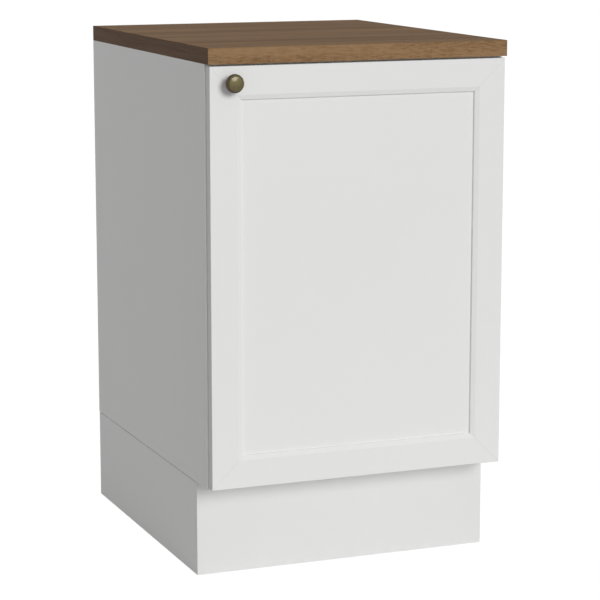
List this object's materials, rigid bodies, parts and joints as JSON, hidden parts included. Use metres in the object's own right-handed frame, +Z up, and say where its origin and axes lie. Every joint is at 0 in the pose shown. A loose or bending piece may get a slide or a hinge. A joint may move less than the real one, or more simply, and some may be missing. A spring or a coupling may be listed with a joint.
{
  "type": "kitchen base cabinet",
  "caption": "White kitchen base cabinet with a framed door on concealed hinges, a round knob, an adjustable shelf, a wood-grain worktop and a set-back plinth.",
  "frame": {"origin": "centre of the whole footprint, knob included, on the floor", "axes": "+Z up, +X to the right seen from the front, +Y from the door towards the wall"},
  "size_m": [0.5, 0.6226, 0.84],
  "materials": {
    "white_board": "white melamine-faced chipboard, matt",
    "white_edge": "white edging, matt",
    "white_back": "white lacquered hardboard, matt",
    "front_white": "white foiled board, satin",
    "worktop_core": "raw chipboard",
    "worktop_grain": "brown wood-grain laminate, satin",
    "beech": "smooth beech",
    "softwood": "planed softwood",
    "zinc_steel": "zinc plated, satin",
    "nickel_steel": "nickel plated, satin",
    "cam_zinc": "die-cast zinc, dull",
    "bronze": "antique bronze, satin",
    "bumper_rubber": "clear soft plastic, matt"
  },
  "bodies": {
    "carcass": {"back_panel": "white_back", "back_panel_screws": "zinc_steel", "bottom_edge_strip": "white_edge", "bottom_panel": "white_board", "cam_bolts": "zinc_steel", "cam_locks": "cam_zinc", "carcass_screws": "zinc_steel", "front_top_rail": "white_board", "hinge_adjusting_screws": "nickel_steel", "hinge_arm_pins": "nickel_steel", "hinge_clamp_screws": "nickel_steel", "left_side_edge_strip": "white_edge", "left_side_panel": "white_board", "lower_hinge_arm": "nickel_steel", "lower_mounting_plate": "nickel_steel", "mounting_plate_screws": "nickel_steel", "plinth_block_screws": "zinc_steel", "plinth_bracket_screws": "zinc_steel", "plinth_brackets": "zinc_steel", "plinth_corner_blocks": "softwood", "plinth_front_board": "white_board", "plinth_left_board": "white_board", "plinth_rear_board": "white_board", "plinth_right_board": "white_board", "rear_top_rail": "white_board", "right_side_edge_strip": "white_edge", "right_side_panel": "white_board", "shelf": "white_board", "shelf_edge_strip": "white_edge", "shelf_pins": "nickel_steel", "top_rail_edge_strip": "white_edge", "upper_hinge_arm": "nickel_steel", "upper_mounting_plate": "nickel_steel", "wooden_dowels": "beech", "worktop_board": "worktop_core", "worktop_front_edge": "worktop_grain", "worktop_laminate": "worktop_grain", "worktop_left_edge": "worktop_grain", "worktop_right_edge": "worktop_grain", "worktop_screws": "zinc_steel"},
    "long_links": {"hinge_long_links": "nickel_steel"},
    "short_links": {"hinge_short_links": "nickel_steel"},
    "door": {"door_left_stile": "front_white", "door_right_stile": "front_white", "door_top_rail": "front_white", "door_bottom_rail": "front_white", "door_panel": "front_white", "door_mitre_dowels": "beech", "knob": "bronze", "knob_screw": "zinc_steel", "door_bumpers": "bumper_rubber", "upper_hinge_cup": "nickel_steel", "lower_hinge_cup": "nickel_steel", "hinge_cup_pins": "nickel_steel", "hinge_cup_screws": "nickel_steel"}
  },
  "joints": [
    {"name": "long_link_turn", "type": "hinge", "parent": "carcass", "child": "long_links", "pos_m": [0.20491, -0.25577, 0.48375], "axis": [0, 0, -1], "range_deg": [0, 38.35]},
    {"name": "short_link_turn", "type": "hinge", "parent": "carcass", "child": "short_links", "pos_m": [0.22063, -0.27485, 0.48375], "axis": [0, 0, -1], "range_deg": [0, 68.27]},
    {"name": "door_turn", "type": "hinge", "parent": "long_links", "child": "door", "pos_m": [0.23701, -0.27247, 0.48375], "axis": [0, 0, 1], "range_deg": [0, 128.25]}
  ],
  "couplings": [
    {"joint": "long_link_turn", "follows": "door_turn", "ratio": 0.29825},
    {"joint": "short_link_turn", "follows": "door_turn", "ratio": 0.53158}
  ]
}
